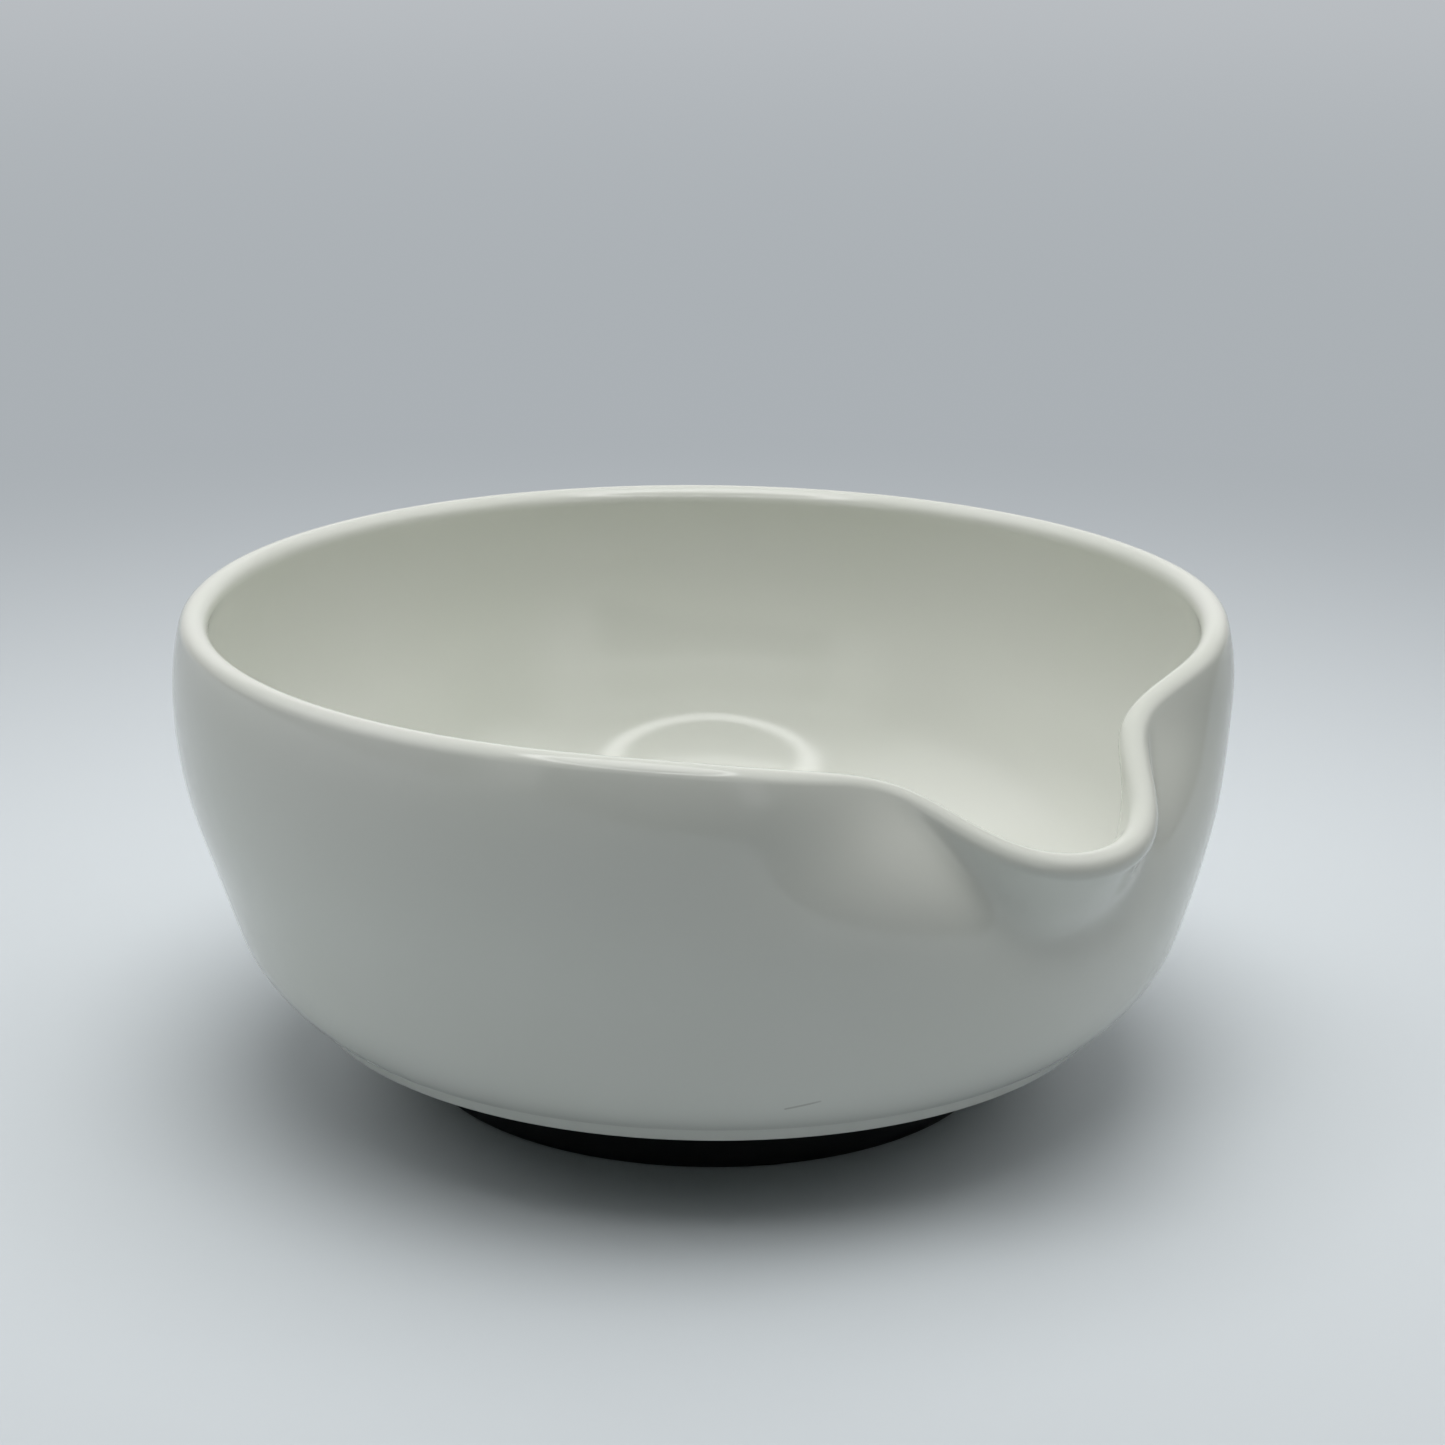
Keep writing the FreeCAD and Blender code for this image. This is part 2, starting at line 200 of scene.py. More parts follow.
def pulledMiddleTree():
    names = ["Height", "Angle", *wallLine, *spoutPull]
    place = ("Place", "NodeSocketVector")
    tree, given, result = newTree("Middle of pulled wall", numberSockets(*names), place)
    offMiddle = calc(tree, "ABSOLUTE", given["Angle"])
    humpTree = smoothHumpTree()
    plainTree = plainMiddleTree()

    def plainRadius(height):
        values = {name: given[name] for name in wallLine} | {"Height": height}
        return node(tree, "GeometryNodeGroup", values, node_tree=plainTree).outputs[0]

    def rimAt(spread):
        def hump(middle, width, power):
            square = calc(tree, "MULTIPLY", spread, spread)
            wider = calc(tree, "SQRT", calc(tree, "MULTIPLY_ADD", width, width, square))
            values = {"Angle": offMiddle, "Middle": middle, "Width": wider, "Power": power}
            made = node(tree, "GeometryNodeGroup", values, node_tree=humpTree).outputs[0]
            return calc(tree, "MULTIPLY", made, calc(tree, "DIVIDE", width, wider))

        throat = calc(tree, "MULTIPLY", hump(0, given["Throat Width"], flatHump), given["Throat Share"])
        restOfDrop = calc(tree, "SUBTRACT", 1, given["Throat Share"])
        sag = calc(tree, "MULTIPLY_ADD", hump(0, given["Drop Width"], roundHump), restOfDrop, throat)
        reach = calc(tree, "MULTIPLY", hump(0, given["Reach Width"], flatHump), given["Reach"])
        radius = plainRadius(given["Rim Height"])
        for part in ("Pinch", "Shoulder"):
            middle = given[part + " Angle"]
            width = given[part + " Width"]
            farMiddle = calc(tree, "MULTIPLY", middle, -1)
            both = calc(tree, "ADD", hump(middle, width, roundHump), hump(farMiddle, width, roundHump))
            radius = calc(tree, "SUBTRACT", radius, calc(tree, "MULTIPLY", both, given[part + " Depth"]))
        return radius, calc(tree, "MULTIPLY", sag, given["Drop"]), reach

    # the wall slides down along itself, and leans out or in to meet the rim
    limits = {"Value": given["Height"], "From Min": given["Root Height"], "From Max": given["Rim Height"]}
    sink = node(tree, "ShaderNodeMapRange", limits, interpolation_type="SMOOTHSTEP").outputs[0]
    _, down, reach = rimAt(0)
    low = calc(tree, "SUBTRACT", given["Height"], calc(tree, "MULTIPLY", down, sink))
    share = calc(tree, "DIVIDE", calc(tree, "SUBTRACT", given["Height"], given["Root Height"]),
                 calc(tree, "SUBTRACT", given["Rim Height"], given["Root Height"]))
    share = calc(tree, "MAXIMUM", share, 0)
    flare = calc(tree, "POWER", share, given["Flare"])
    rimRadius, rimDown, _ = rimAt(calc(tree, "MULTIPLY", calc(tree, "SUBTRACT", 1, share), given["Spread"]))
    lowRim = calc(tree, "SUBTRACT", given["Rim Height"], rimDown)
    shift = calc(tree, "SUBTRACT", rimRadius, plainRadius(lowRim))
    radius = calc(tree, "MULTIPLY_ADD", shift, flare, plainRadius(low))
    radius = calc(tree, "MULTIPLY_ADD", reach, calc(tree, "POWER", share, given["Lip Flare"]), radius)
    feed(tree, result, node(tree, "ShaderNodeCombineXYZ", {"X": radius, "Z": low}).outputs[0])
    return tree, plainTree


def turnedProfileTree():
    sockets = {
        "Profile": ("NodeSocketGeometry", None),
        "Sections": ("NodeSocketInt", 360),
        "Finish": ("NodeSocketMaterial", None),
    }
    sockets |= numberSockets(*wallLine, *spoutPull)
    sockets["Root Height"] = ("NodeSocketFloat", 1.0)  # pieces without a spout stay round
    tree, given, result = newTree("Turned profile with spout", sockets, ("Body", "NodeSocketGeometry"))
    profile = given["Profile"]
    count = node(tree, "GeometryNodeAttributeDomainSize", {"Geometry": profile}).outputs["Point Count"]
    columns = whole(tree, "ADD", given["Sections"], 1)
    grid = node(tree, "GeometryNodeMeshGrid", {"Vertices X": columns, "Vertices Y": count})
    index = node(tree, "GeometryNodeInputIndex").outputs[0]
    section = whole(tree, "DIVIDE_FLOOR", index, count)
    row = whole(tree, "MODULO", index, count)

    def sampled(value):
        made = node(tree, "GeometryNodeSampleIndex", {"Geometry": profile}, data_type="FLOAT_VECTOR")
        feed(tree, made.inputs["Value"], value)
        feed(tree, made.inputs["Index"], row)
        return made.outputs[0]

    plain = sampled(node(tree, "GeometryNodeInputPosition").outputs[0])
    stored = node(tree, "GeometryNodeInputNamedAttribute", {"Name": "outward"}, data_type="FLOAT_VECTOR")
    outward = sampled(stored.outputs[0])
    share = calc(tree, "DIVIDE", section, given["Sections"])
    angle = calc(tree, "MULTIPLY", calc(tree, "SUBTRACT", share, 0.5), 360)  # the seam is at the back
    pulledTree, plainTree = pulledMiddleTree()

    def pulledAt(height, place):
        values = {name: given[name] for name in (*wallLine, *spoutPull)} | {"Height": height, "Angle": place}
        return node(tree, "GeometryNodeGroup", values, node_tree=pulledTree).outputs[0]

    def plainAt(height):
        values = {name: given[name] for name in wallLine} | {"Height": height}
        radius = node(tree, "GeometryNodeGroup", values, node_tree=plainTree).outputs[0]
        return node(tree, "ShaderNodeCombineXYZ", {"X": radius, "Z": height}).outputs[0]

    def leanBetween(first, second):
        way = node(tree, "ShaderNodeSeparateXYZ", {0: vectors(tree, "SUBTRACT", second, first)}).outputs
        return calc(tree, "ARCTAN2", way["X"], way["Z"])

    # the middle of the wall is moved, and the wall's half thickness is laid on it again
    middle = vectors(tree, "SUBTRACT", plain, vectors(tree, "SCALE", outward, scale=given["Half Wall"]))
    height = node(tree, "ShaderNodeSeparateXYZ", {0: middle}).outputs["Z"]
    moved = vectors(tree, "ADD", vectors(tree, "SUBTRACT", middle, plainAt(height)), pulledAt(height, angle))

    lower = calc(tree, "SUBTRACT", height, given["Height Step"])
    leanBefore = leanBetween(plainAt(lower), plainAt(height))
    leanAfter = leanBetween(pulledAt(lower, angle), pulledAt(height, angle))
    turned = node(tree, "ShaderNodeVectorRotate", {"Vector": outward}, rotation_type="Y_AXIS")
    feed(tree, turned.inputs["Angle"], calc(tree, "SUBTRACT", leanAfter, leanBefore))
    facing = turned.outputs[0]

    # a section cuts a wall that runs past it at a slant, so the half thickness is drawn longer there
    step = given["Angle Step"]
    change = vectors(tree, "SUBTRACT", pulledAt(height, calc(tree, "ADD", angle, step)),
                     pulledAt(height, calc(tree, "SUBTRACT", angle, step)))
    radius = node(tree, "ShaderNodeSeparateXYZ", {0: moved}).outputs["X"]
    arcLength = calc(tree, "MULTIPLY", radius, calc(tree, "RADIANS", calc(tree, "MULTIPLY", step, 2)))
    slope = vectors(tree, "SCALE", change, scale=calc(tree, "DIVIDE", 1, arcLength))
    tilt = vectors(tree, "DOT_PRODUCT", facing, slope)
    slant = vectors(tree, "ADD", facing, vectors(tree, "SCALE", slope, scale=tilt))
    length = calc(tree, "SQRT", calc(tree, "MULTIPLY_ADD", tilt, tilt, 1))
    reach = vectors(tree, "SCALE", slant, scale=calc(tree, "DIVIDE", given["Half Wall"], length))
    pulled = vectors(tree, "ADD", moved, reach)

    isWall = calc(tree, "GREATER_THAN", height, given["Root Height"])
    place = node(tree, "ShaderNodeMix", {0: isWall}, data_type="VECTOR")
    feed(tree, place.inputs[4], plain)
    feed(tree, place.inputs[5], pulled)
    split = node(tree, "ShaderNodeSeparateXYZ", {0: place.outputs[1]}).outputs
    turn = calc(tree, "RADIANS", angle)
    x = calc(tree, "MULTIPLY", split["X"], calc(tree, "COSINE", turn))
    y = calc(tree, "MULTIPLY", split["X"], calc(tree, "SINE", turn))
    point = node(tree, "ShaderNodeCombineXYZ", {"X": x, "Y": y, "Z": split["Z"]}).outputs[0]

    body = node(tree, "GeometryNodeSetPosition", {"Geometry": grid.outputs["Mesh"], "Position": point})
    body = node(tree, "GeometryNodeMergeByDistance", {"Geometry": body.outputs[0], "Distance": mergeReach})
    body = node(tree, "GeometryNodeSetShadeSmooth", {"Geometry": body.outputs[0]})
    body = node(tree, "GeometryNodeRealizeInstances", {"Geometry": body.outputs[0]})
    body = node(tree, "GeometryNodeSetMaterial", {"Geometry": body.outputs[0], "Material": given["Finish"]})
    feed(tree, result, body.outputs[0])
    return tree


mergeReach = 0.001 * mm              # closes the seam and the poles
turnedProfile = turnedProfileTree()
print("turning tree built with", len(turnedProfile.nodes), "nodes")


def outwardWays(points):
    before = points[:1] + points[:-1]
    after = points[1:] + points[-1:]
    ways = [(b - a).normalized() for a, b in zip(before, after)]
    return [(way.y, 0, -way.x) for way in ways]  # the material lies to the left of the profile


def turnedPiece(name, points, sections, finish, pull=None):
    profile = bpy.data.meshes.new(name + "Profile")
    profile.from_pydata([(p.x * mm, 0, p.y * mm) for p in points], [], [])
    ways = profile.attributes.new("outward", "FLOAT_VECTOR", "POINT")
    ways.data.foreach_set("vector", [number for way in outwardWays(points) for number in way])
    piece = bpy.data.objects.new(name, profile)
    bpy.context.scene.collection.objects.link(piece)
    modifier = piece.modifiers.new("Turn", "NODES")
    modifier.node_group = turnedProfile
    values = {"Sections": sections, "Finish": finish} | (pull or {})
    for socket in turnedProfile.interface.items_tree:
        if socket.name in values:
            modifier[socket.identifier] = values[socket.name]
    evaluated = piece.evaluated_get(bpy.context.evaluated_depsgraph_get())
    piece.data = bpy.data.meshes.new_from_object(evaluated)
    piece.modifiers.remove(modifier)
    piece.data.name = name
    bpy.data.meshes.remove(profile)
    print(name, len(piece.data.vertices), "points,", len(piece.data.polygons), "faces")
    return piece


def newMaterial(name, viewportColor):
    material = bpy.data.materials.new(name)
    material.use_nodes = True
    material.diffuse_color = viewportColor + (1,)
    tree = material.node_tree
    return material, tree, tree.nodes["Principled BSDF"]


def noise(tree, scale, detail=2.0, roughness=0.5):
    where = node(tree, "ShaderNodeTexCoord").outputs["Object"]
    inputs = {"Vector": where, "Scale": scale, "Detail": detail, "Roughness": roughness}
    return node(tree, "ShaderNodeTexNoise", inputs).outputs[0]


def between(tree, value, low, high, bottom, top):
    inputs = {"Value": value, "From Min": low, "From Max": high, "To Min": bottom, "To Max": top}
    return node(tree, "ShaderNodeMapRange", inputs).outputs[0]


def mixed(tree, share, first, second):
    made = node(tree, "ShaderNodeMix", data_type="RGBA")
    feed(tree, made.inputs[0], share)
    feed(tree, made.inputs[6], first)
    feed(tree, made.inputs[7], second)
    return made.outputs[2]


glazeLook = {
    "thick": (0.70, 0.722, 0.66, 1),    # where the glaze has run a little thicker
    "thin": (0.715, 0.73, 0.68, 1),
    "cloudScale": 22,                   # per metre
    "cloudShare": (0.35, 0.65),         # noise levels of all thick and all thin
    "hairline": ((0.0569, -0.0384, 0.0199), (0.0601, -0.0350, 0.0209)),  # a fine mark low on the front
    "hairReach": (0.1 * mm, 0.3 * mm),
    "hairColor": (0.30, 0.29, 0.26, 1),
    "hairStrength": 0.5,
    "roughness": (0.07, 0.10),
    "dullScale": 90,
    "dullShare": (0.3, 0.7),
    "ior": 1.5,
    "rippleScale": 60,
    "rippleHeight": 0.03 * mm,
    "peelScale": 700,
    "peelHeight": 0.002 * mm,
}


def offLine(tree, first, last):
    first, last = Vector(first), Vector(last)
    where = node(tree, "ShaderNodeTexCoord").outputs["Object"]
    fromFirst = vectors(tree, "SUBTRACT", where, first)
    along = vectors(tree, "DOT_PRODUCT", fromFirst, last - first)
    share = between(tree, along, 0, (last - first).length_squared, 0, 1)
    onLine = vectors(tree, "SCALE", last - first, scale=share)
    away = node(tree, "ShaderNodeVectorMath", {0: fromFirst, 1: onLine}, operation="DISTANCE")
    return away.outputs["Value"]


def makeGlaze():
    material, tree, glaze = newMaterial("whiteGlaze", (0.8, 0.8, 0.76))
    cloud = noise(tree, glazeLook["cloudScale"], 3)
    thinness = between(tree, cloud, *glazeLook["cloudShare"], 0, 1)
    color = mixed(tree, thinness, glazeLook["thick"], glazeLook["thin"])
    offHair = offLine(tree, *glazeLook["hairline"])
    hair = between(tree, offHair, *glazeLook["hairReach"], glazeLook["hairStrength"], 0)
    color = mixed(tree, hair, color, glazeLook["hairColor"])
    feed(tree, glaze.inputs["Base Color"], color)
    dull = noise(tree, glazeLook["dullScale"], 3)
    dull = between(tree, dull, *glazeLook["dullShare"], *glazeLook["roughness"])
    feed(tree, glaze.inputs["Roughness"], dull)
    glaze.inputs["IOR"].default_value = glazeLook["ior"]
    ripple = node(tree, "ShaderNodeBump", {
        "Height": noise(tree, glazeLook["rippleScale"], 1),
        "Distance": glazeLook["rippleHeight"],
    })
    peel = node(tree, "ShaderNodeBump", {
        "Height": noise(tree, glazeLook["peelScale"], 1),
        "Distance": glazeLook["peelHeight"],
        "Normal": ripple.outputs[0],
    })
    feed(tree, glaze.inputs["Normal"], peel.outputs[0])
    return material


rubberLook = {
    "color": (0.004, 0.004, 0.0045, 1),
    "worn": (0.007, 0.007, 0.0075, 1),
    "patchScale": 45,
    "patchShare": (0.4, 0.7),
    "roughness": (0.06, 0.12),
    "ior": 1.5,
    "grainScale": 900,
    "grainHeight": 0.003 * mm,
}


def makeRubber():
    material, tree, rubber = newMaterial("blackRubber", (0.01, 0.01, 0.01))
    patch = between(tree, noise(tree, rubberLook["patchScale"], 4, 0.6), *rubberLook["patchShare"], 0, 1)
    feed(tree, rubber.inputs["Base Color"], mixed(tree, patch, rubberLook["color"], rubberLook["worn"]))
    feed(tree, rubber.inputs["Roughness"], between(tree, patch, 0, 1, *rubberLook["roughness"]))
    rubber.inputs["IOR"].default_value = rubberLook["ior"]
    grain = node(tree, "ShaderNodeBump", {
        "Height": noise(tree, rubberLook["grainScale"], 2),
        "Distance": rubberLook["grainHeight"],
    })
    feed(tree, rubber.inputs["Normal"], grain.outputs[0])
    return material


whiteGlaze = makeGlaze()
blackRubber = makeRubber()
print("finishes made")


bowlForm = {                       # millimetres and degrees
    "top": bowlHigh.z / mm,
    "bellyRadius": min(-bowlLow.x, bowlHigh.y) / mm,
    "bellyHeight": 60.6,
    "shoulderCurve": 39.93,        # curve of the wall above the widest point
    "bellyCurve": 62.0,            # and below it
    "wallLean": 18.5,
    "hipCurve": 23.0,
    "hipTurn": 54.3,               # how far under level the hip ends, in the crease
    "underside": 12.1,
    "stepHeight": 2.5,             # underside to crease
    "stepLean": 37.0,
    "stepRound": 0.9,
    "creaseRound": 1.4,
    "wall": 4.3,
    "floor": 4.3,
    "innerStraight": 6.0,
    "footInner": 36.7,
    "footOuter": 41.7,
    "footEnd": bowlLow.z / mm,
    "footRound": 1.5,
    "footEdge": 0.4,
    "gap": 1.2,                    # longest step along the profile
    "fineGap": 0.35,               # and along the rim, the crease and the small roundings
    "sections": 400,
}


def bowlProfile(form):
    lean = math.radians(form["wallLean"])
    step = math.radians(form["stepLean"])
    gap = form["gap"]
    fine = form["fineGap"]
    bead = form["wall"] / 2
    underside = form["underside"]
    belly = Vector((form["bellyRadius"] - form["bellyCurve"], form["bellyHeight"]))
    shoulder = Vector((form["bellyRadius"] - form["shoulderCurve"], form["bellyHeight"]))
    toRim = form["shoulderCurve"] - bead
    shoulderTurn = math.asin((form["top"] - bead - shoulder.y) / toRim)
    rim = onCircle(shoulder, toRim, shoulderTurn)
    along = Vector((math.tan(lean), 1))

    outerTop = onCircle(belly, form["bellyCurve"], -lean)
    hipEnd = -math.radians(form["hipTurn"])
    hipHeight = underside + form["stepHeight"] - form["hipCurve"] * (math.sin(hipEnd) + math.sin(lean))
    hipStart = outerTop - along * (outerTop.y - hipHeight)
    hip = onCircle(hipStart, -form["hipCurve"], -lean)
    crease = onCircle(hip, form["hipCurve"], hipEnd)
    stepFoot = crease.x - form["stepHeight"] * math.tan(step)

    innerFloor = underside + form["floor"]
    innerTop = onCircle(belly, form["bellyCurve"] - form["wall"], -lean)
    innerHipStart = innerTop - along * form["innerStraight"]
    innerHipCurve = (innerHipStart.y - innerFloor) / (1 - math.sin(lean))
    innerHip = onCircle(innerHipStart, -innerHipCurve, -lean)

    # the crease is a small hollow arc between the step's straight line and the hip
    down = Vector((-math.sin(step), -math.cos(step)))
    offset = crease + Vector((math.cos(step), -math.sin(step))) * form["creaseRound"] - hip
    reach = form["hipCurve"] + form["creaseRound"]
    slide = math.sqrt(offset.dot(down) ** 2 - offset.length_squared + reach ** 2) - offset.dot(down)
    hollow = hip + offset + down * slide
    onStep = crease + down * slide
    toHip = hip - hollow
    hollowStart = math.atan2(onStep.y - hollow.y, onStep.x - hollow.x)
    hollowTurn = math.remainder(math.atan2(toHip.y, toHip.x) - hollowStart, math.tau)
    creaseEnd = math.atan2(-toHip.y, -toHip.x)

    points = [Vector((0, underside))]
    addOutline(points, [
        (form["footInner"], underside, form["footRound"]),
        (form["footInner"], form["footEnd"], form["footEdge"]),
        (form["footOuter"], form["footEnd"], form["footEdge"]),
        (form["footOuter"], underside, form["footRound"]),
        (stepFoot, underside, form["stepRound"]),
        tuple(onStep),
    ], gap)
    addArc(points, hollow, form["creaseRound"], hollowStart, hollowStart + hollowTurn, fine)
    addArc(points, hip, form["hipCurve"], creaseEnd, -lean, gap)
    addRun(points, outerTop, gap)
    addArc(points, belly, form["bellyCurve"], -lean, 0, gap)
    addArc(points, shoulder, form["shoulderCurve"], 0, shoulderTurn, gap)
    addArc(points, rim, bead, shoulderTurn, shoulderTurn + math.pi, fine)
    addArc(points, shoulder, form["shoulderCurve"] - form["wall"], shoulderTurn, 0, gap)
    addArc(points, belly, form["bellyCurve"] - form["wall"], 0, -lean, gap)
    addRun(points, innerHipStart, gap)
    addArc(points, innerHip, innerHipCurve, -lean, -math.pi / 2, gap)
    addRun(points, Vector((0, innerFloor)), 2 * gap)
    return points


def wallLineOf(form):
    half = form["wall"] / 2
    return {
        "Rim Height": (form["top"] - half) * mm,
        "Belly Radius": (form["bellyRadius"] - half) * mm,
        "Belly Height": form["bellyHeight"] * mm,
        "Belly Curve": (form["bellyCurve"] - half) * mm,
        "Shoulder Curve": (form["shoulderCurve"] - half) * mm,
        "Wall Lean": form["wallLean"],
        "Half Wall": half * mm,
    }


pull = wallLineOf(bowlForm) | spoutPull
glazedBowl = turnedPiece("glazedBowl", bowlProfile(bowlForm), bowlForm["sections"], whiteGlaze, pull)
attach(glazedBowl, "root")
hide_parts("bowl")


ringForm = {                       # millimetres
    "outer": min(ringHigh.x, ringHigh.y) / mm,
    "inner": 34.6,
    "top": ringHigh.z / mm,
    "innerTop": 7.4,
    "channelOuter": 41.8,
    "channelInner": 36.6,
    "seat": bowlLow.z / mm,
    "edge": 0.5,
    "corner": 0.2,
    "gap": 0.8,
    "sections": 288,
}


def ringProfile(form):
    middle = (form["inner"] + form["outer"]) / 2
    points = [Vector((middle, 0))]
    addOutline(points, [
        (form["outer"], 0, form["edge"]),
        (form["outer"], form["top"], form["edge"]),
        (form["channelOuter"], form["top"], form["corner"]),
        (form["channelOuter"], form["seat"], form["corner"]),
        (form["channelInner"], form["seat"], form["corner"]),
        (form["channelInner"], form["innerTop"], form["corner"]),
        (form["inner"], form["innerTop"], form["edge"]),
        (form["inner"], 0, form["edge"]),
        (middle, 0),
    ], form["gap"])
    return points


rubberRing = turnedPiece("rubberRing", ringProfile(ringForm), ringForm["sections"], blackRubber)
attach(rubberRing, "root")
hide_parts("foot_ring")
print("bowl and ring stand on the frame")


def smoothBand(tree, value, none, full):
    inputs = {"Value": value, "From Min": none, "From Max": full}
    return node(tree, "ShaderNodeMapRange", inputs, interpolation_type="SMOOTHSTEP").outputs[0]


def inverse(tree, share):
    return calc(tree, "SUBTRACT", 1, share)


def product(tree, first, *others):
    for other in others:
        first = calc(tree, "MULTIPLY", first, other)
    return first


def circle(radius, steps):
    return [(*onCircle((0, 0), radius, math.tau * i / steps), 0) for i in range(steps)]


cameraView = {
    "target": (0.001263, 0.001344, 0.05306),
    "bearing": -43.22,               # degrees from +X, seen from above
    "rise": 17.217,
    "distance": 0.4885,              # metres from the target
    "lens": 80.48,                   # millimetres, as is the sensor
    "sensor": 36,
    "roll": 0.747,                   # degrees
}


def wayTo(bearing, rise):
    bearing, rise = math.radians(bearing), math.radians(rise)
    return Vector((math.cos(rise) * math.cos(bearing), math.cos(rise) * math.sin(bearing), math.sin(rise)))


# The bowl stands on a sheet of pale paper in a light box that is open in front. The camera sees the paper
# go on into the backdrop. Light and reflections know its front edge and the dark room beyond it.

paperLook = {
    "color": (0.60, 0.64, 0.665, 1),
    "middle": (0.405, 0.435, 0.46, 1),    # what it fades to, for the camera and in reflections
    "fade": (0.10, 0.46),                 # distances from the bowl between which it does
    "backdrop": (0.485, 0.51, 0.535, 1),  # and what that fades to farther off
    "farFade": (0.5, 2.2),
    "beyond": (0.03, 0.03, 0.03, 1),      # the dark room in front of the sheet
    "frontEdge": 0.24,                    # where the sheet ends along X
    "edgeSkew": 0.085,                    # how much of Y is added to X there
    "edgeFade": 0.01,
    "roughness": 0.8,
    "specular": 0.2,
    "radius": 9.0,
    "steps": 96,
}


def makeFloor(look):
    material, tree, paper = newMaterial("palePaper", (0.6, 0.64, 0.66))
    path = node(tree, "ShaderNodeLightPath").outputs
    isCamera = path["Is Camera Ray"]
    mirrored = calc(tree, "ADD", path["Is Glossy Ray"], path["Is Transmission Ray"])
    spot = node(tree, "ShaderNodeTexCoord").outputs["Object"]
    across = node(tree, "ShaderNodeSeparateXYZ", {0: spot}).outputs
    edge = calc(tree, "MULTIPLY_ADD", across["Y"], look["edgeSkew"], across["X"])
    beyond = smoothBand(tree, edge, look["frontEdge"], look["frontEdge"] + look["edgeFade"])
    isBeyond = product(tree, beyond, inverse(tree, isCamera))
    feed(tree, paper.inputs["Base Color"], mixed(tree, isBeyond, look["color"], look["beyond"]))
    paper.inputs["Roughness"].default_value = look["roughness"]
    paper.inputs["Specular IOR Level"].default_value = look["specular"]
    away = node(tree, "ShaderNodeVectorMath", {0: spot}, operation="LENGTH").outputs["Value"]
    shows = calc(tree, "ADD", isCamera, product(tree, mirrored, inverse(tree, beyond)))
    fade = product(tree, smoothBand(tree, away, *look["fade"]), shows)
    backdropColor = mixed(tree, smoothBand(tree, away, *look["farFade"]), look["middle"], look["backdrop"])
    backdrop = node(tree, "ShaderNodeEmission", {"Color": backdropColor}).outputs[0]
    shown = node(tree, "ShaderNodeMixShader", {0: fade, 1: paper.outputs[0], 2: backdrop}).outputs[0]
    feed(tree, tree.nodes["Material Output"].inputs["Surface"], shown)
    mesh = bpy.data.meshes.new("floor")
    mesh.from_pydata(circle(look["radius"], look["steps"]), [], [list(range(look["steps"]))])
    mesh.materials.append(material)
    floor = bpy.data.objects.new("floor", mesh)
    bpy.context.scene.collection.objects.link(floor)
    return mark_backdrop(floor)


makeFloor(paperLook)

lightBox = {                         # radiance, and angles in degrees between which it fades
    "ceiling": 3.2,
    "ceilingShown": 2.2,             # in reflections
    "ceilingRise": 82,               # its middle, towards the camera
    "ceilingReach": (24, 16),
    "sides": 1.25,
    "sidesShown": 0.6,
    "sidesRise": (25, 35),
    "sidesTop": (55, 65),
    "back": 2.4,
    "backShown": 0.5,
    "backTop": (35, 25),
    "wallReach": (50, 22),           # to either side of the middle of a wall
    "room": 0.7,                     # only reflections show the room in front, with a dark figure in it
    "roomReach": (52, 38),
    "figureReach": (32, 27),
    "figureTop": (21, 18),
}


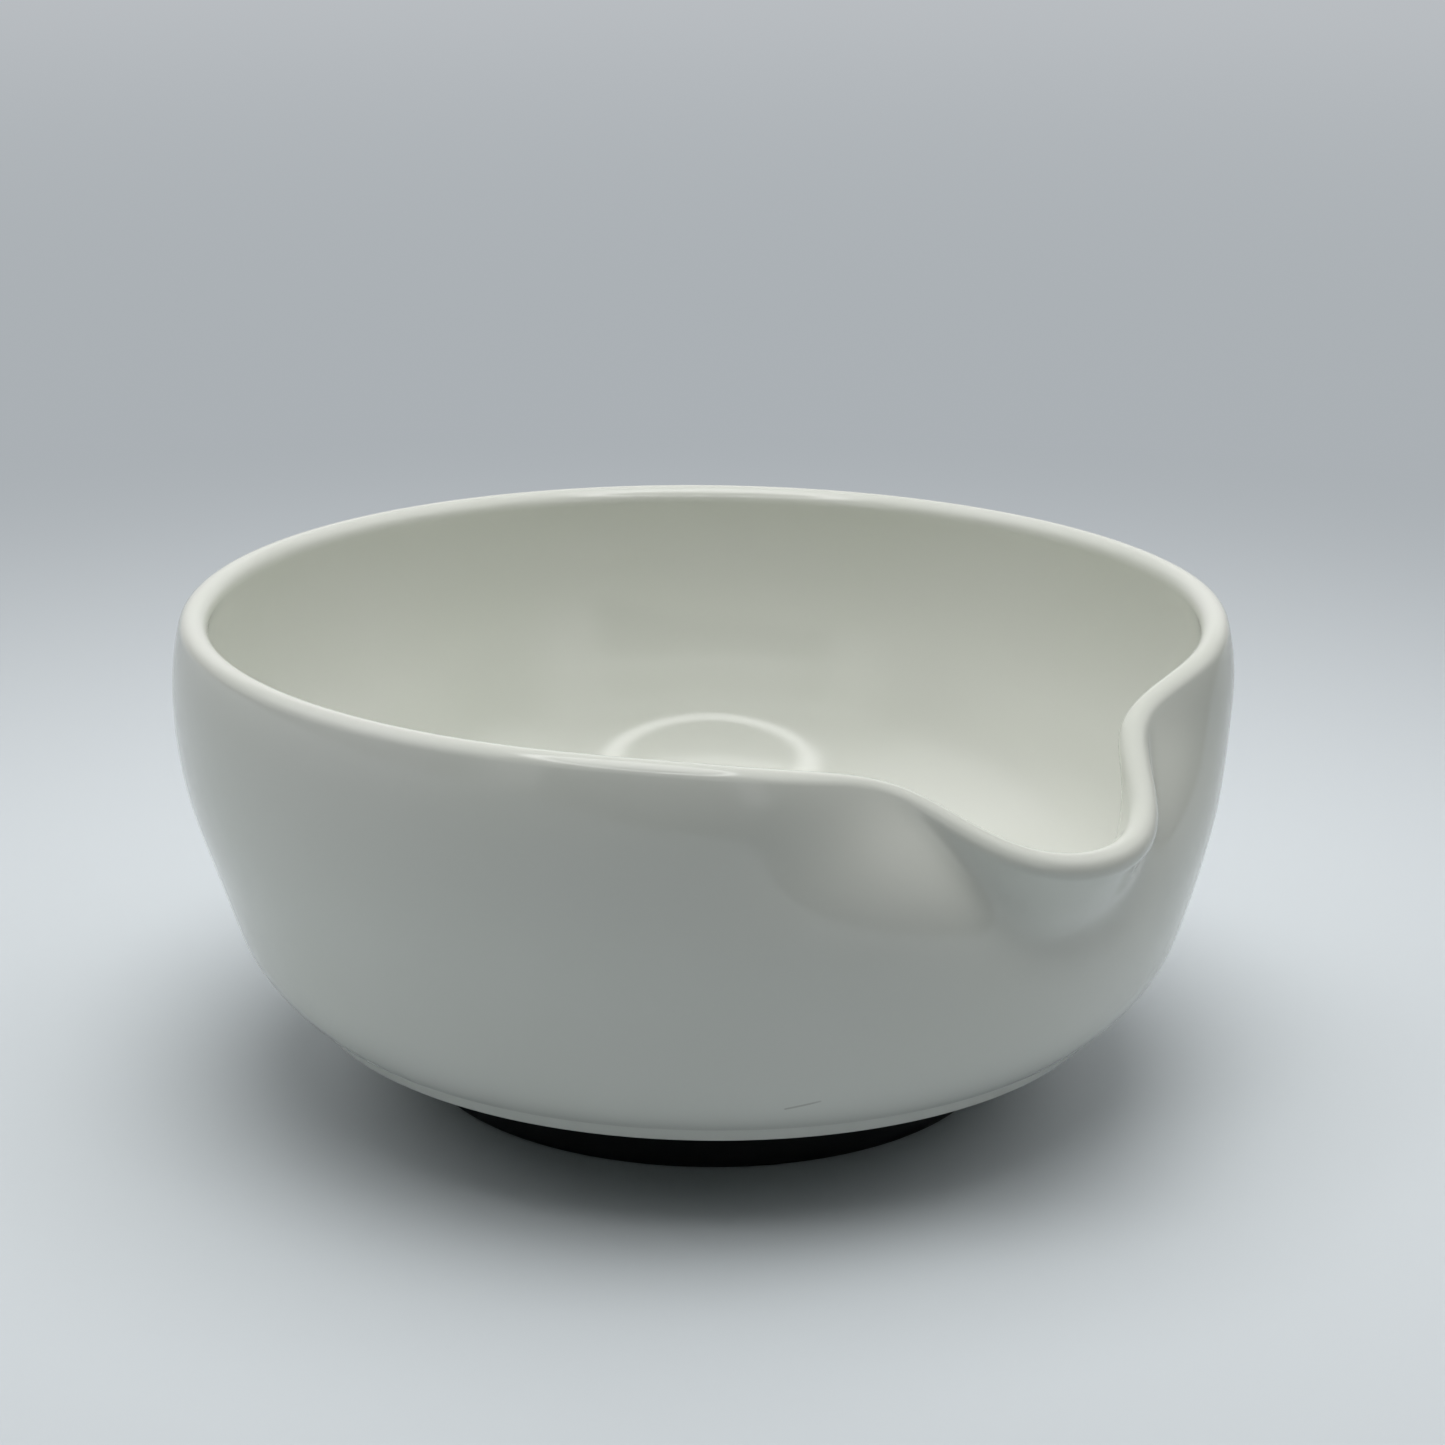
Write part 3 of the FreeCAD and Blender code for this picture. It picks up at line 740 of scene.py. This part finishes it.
def makeWorld(look):
    world = bpy.data.worlds.new("lightBox")
    bpy.context.scene.world = world
    world.use_nodes = True
    tree = world.node_tree
    path = node(tree, "ShaderNodeLightPath").outputs
    way = node(tree, "ShaderNodeTexCoord").outputs["Generated"]
    split = node(tree, "ShaderNodeSeparateXYZ", {0: way}).outputs
    rise = calc(tree, "DEGREES", calc(tree, "ARCSINE", split["Z"]))
    bearing = calc(tree, "ARCTAN2", split["Y"], split["X"])

    def turnFrom(middle):
        turn = calc(tree, "SUBTRACT", bearing, math.radians(cameraView["bearing"] + middle))
        return calc(tree, "DEGREES", calc(tree, "ARCCOSINE", calc(tree, "COSINE", turn)))

    def unlessMirrored(name):
        levels = {0: path["Is Glossy Ray"], 2: look[name], 3: look[name + "Shown"]}
        return node(tree, "ShaderNodeMix", levels).outputs[0]

    above = vectors(tree, "DOT_PRODUCT", way, wayTo(cameraView["bearing"], look["ceilingRise"]))
    offCeiling = calc(tree, "DEGREES", calc(tree, "ARCCOSINE", above))
    ceiling = product(tree, smoothBand(tree, offCeiling, *look["ceilingReach"]), unlessMirrored("ceiling"))
    onSide = calc(tree, "MINIMUM", turnFrom(90), turnFrom(-90))
    sideHeight = product(tree, smoothBand(tree, rise, *look["sidesRise"]),
                         inverse(tree, smoothBand(tree, rise, *look["sidesTop"])))
    sides = product(tree, smoothBand(tree, onSide, *look["wallReach"]), sideHeight, unlessMirrored("sides"))
    low = smoothBand(tree, rise, *look["backTop"])
    back = product(tree, smoothBand(tree, turnFrom(180), *look["wallReach"]), low, unlessMirrored("back"))
    front = turnFrom(0)
    figure = product(tree, smoothBand(tree, front, *look["figureReach"]),
                     smoothBand(tree, rise, *look["figureTop"]))
    room = product(tree, smoothBand(tree, front, *look["roomReach"]), low, inverse(tree, figure),
                   path["Is Glossy Ray"], look["room"])
    light = calc(tree, "ADD", calc(tree, "ADD", ceiling, sides), calc(tree, "ADD", back, room))
    isCamera = path["Is Camera Ray"]
    background = tree.nodes["Background"]
    strength = node(tree, "ShaderNodeMix", {0: isCamera, 2: light, 3: 1.0}).outputs[0]
    feed(tree, background.inputs["Strength"], strength)
    feed(tree, background.inputs["Color"], mixed(tree, isCamera, (1, 1, 1, 1), paperLook["backdrop"]))


makeWorld(lightBox)

ringLight = {                        # metres and degrees, only seen in reflections
    "aim": (0, 0, 0.030),
    "rise": 68,
    "distance": 0.30,
    "outer": 0.126,
    "inner": 0.080,
    "stretch": 1.4,                  # away from the camera
    "radiance": 5.5,
    "steps": 96,
}


def makeRingLight(look):
    steps = look["steps"]
    points = circle(look["inner"], steps) + circle(look["outer"], steps)
    faces = [(i, steps + i, steps + (i + 1) % steps, (i + 1) % steps) for i in range(steps)]
    mesh = bpy.data.meshes.new("ringLight")
    mesh.from_pydata(points, [], faces)
    material, tree, _ = newMaterial("ringGlow", (1, 1, 1))
    spot = node(tree, "ShaderNodeTexCoord").outputs["Object"]
    out = node(tree, "ShaderNodeVectorMath", {0: spot}, operation="LENGTH").outputs["Value"]
    middle = (look["inner"] + look["outer"]) / 2
    fromInside = smoothBand(tree, out, look["inner"], middle)
    fromOutside = smoothBand(tree, out, look["outer"], middle)
    strength = product(tree, fromInside, fromOutside, look["radiance"])
    glow = node(tree, "ShaderNodeEmission", {"Strength": strength}).outputs[0]
    feed(tree, tree.nodes["Material Output"].inputs["Surface"], glow)
    mesh.materials.append(material)
    ring = bpy.data.objects.new("ringLight", mesh)
    way = wayTo(cameraView["bearing"], look["rise"])
    ring.location = Vector(look["aim"]) + way * look["distance"]
    ring.rotation_mode = "QUATERNION"
    ring.rotation_quaternion = way.to_track_quat("Z", "Y")
    ring.scale = (1, look["stretch"], 1)
    bpy.context.scene.collection.objects.link(ring)
    for kind in ("camera", "diffuse", "transmission", "shadow"):
        setattr(ring, "visible_" + kind, False)
    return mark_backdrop(ring)


makeRingLight(ringLight)

panelLamp = {
    "size": 0.5,
    "bearing": 136.8,
    "rise": 84,
    "distance": 0.55,                # from the middle of the bowl
    "watts": 1.55,
}


def makePanelLamp(look):
    lamp = bpy.data.lights.new("panelLamp", "AREA")
    lamp.shape = "DISK"
    lamp.size = look["size"]
    lamp.energy = look["watts"]
    way = wayTo(look["bearing"], look["rise"])
    holder = bpy.data.objects.new("panelLamp", lamp)
    holder.location = Vector((0, 0, bowlHigh.z / 2)) + way * look["distance"]
    holder.rotation_mode = "QUATERNION"
    holder.rotation_quaternion = way.to_track_quat("Z", "Y")
    holder.visible_glossy = False
    bpy.context.scene.collection.objects.link(holder)


makePanelLamp(panelLamp)


def makeCamera():
    camera = bpy.data.cameras.new("camera")
    camera.lens = cameraView["lens"]
    camera.sensor_width = cameraView["sensor"]
    camera.clip_start = 0.01
    way = wayTo(cameraView["bearing"], cameraView["rise"])
    holder = bpy.data.objects.new("camera", camera)
    holder.location = Vector(cameraView["target"]) + way * cameraView["distance"]
    holder.rotation_mode = "QUATERNION"
    roll = Quaternion((0, 0, 1), math.radians(cameraView["roll"]))
    holder.rotation_quaternion = way.to_track_quat("Z", "Y") @ roll
    bpy.context.scene.collection.objects.link(holder)
    return holder


bpy.context.scene.camera = makeCamera()
bpy.context.scene.view_settings.view_transform = "Standard"
print("floor, lamps and camera placed")
